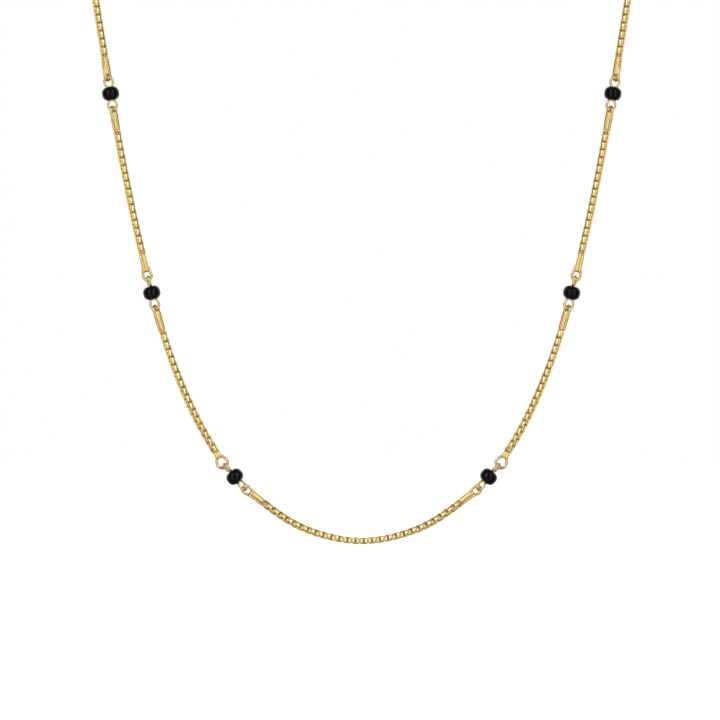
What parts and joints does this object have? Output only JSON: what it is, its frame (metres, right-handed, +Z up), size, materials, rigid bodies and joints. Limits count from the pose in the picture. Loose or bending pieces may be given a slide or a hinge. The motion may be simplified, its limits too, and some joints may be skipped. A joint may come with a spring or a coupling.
{
  "type": "mangalsutra necklace",
  "caption": "Fine gold-tone box-chain necklace with single black beads set in it, closed at the nape by a plain S-shaped hook.",
  "frame": {"origin": "middle of the clasp at the nape, where the necklace hangs", "axes": "+X to the wearer's left, +Y from the front of the necklace to the nape, +Z up; the front faces -Y"},
  "size_m": [0.1012, 0.0657, 0.1471],
  "materials": {
    "gold": "polished gold plate",
    "black_glass": "fire-polished opaque black glass"
  },
  "bodies": {
    "root": {"chain_centre": "gold", "chain_lower_left": "gold", "chain_lower_right": "gold", "chain_upper_left": "gold", "chain_upper_right": "gold", "chain_back_left": "gold", "chain_back_right": "gold", "bead_wire_low_left": "gold", "bead_wire_low_right": "gold", "bead_wire_mid_left": "gold", "bead_wire_mid_right": "gold", "bead_wire_top_left": "gold", "bead_wire_top_right": "gold", "loop_below_low_left": "gold", "loop_below_low_right": "gold", "loop_above_low_left": "gold", "loop_above_low_right": "gold", "loop_below_mid_left": "gold", "loop_below_mid_right": "gold", "loop_above_mid_left": "gold", "loop_above_mid_right": "gold", "loop_below_top_left": "gold", "loop_below_top_right": "gold", "loop_above_top_left": "gold", "loop_above_top_right": "gold", "loop_at_clasp_left": "gold", "loop_at_clasp_right": "gold", "clasp_hook": "gold", "bead_low_left": "black_glass", "bead_low_right": "black_glass", "bead_mid_left": "black_glass", "bead_mid_right": "black_glass", "bead_top_left": "black_glass", "bead_top_right": "black_glass"}
  },
  "joints": []
}
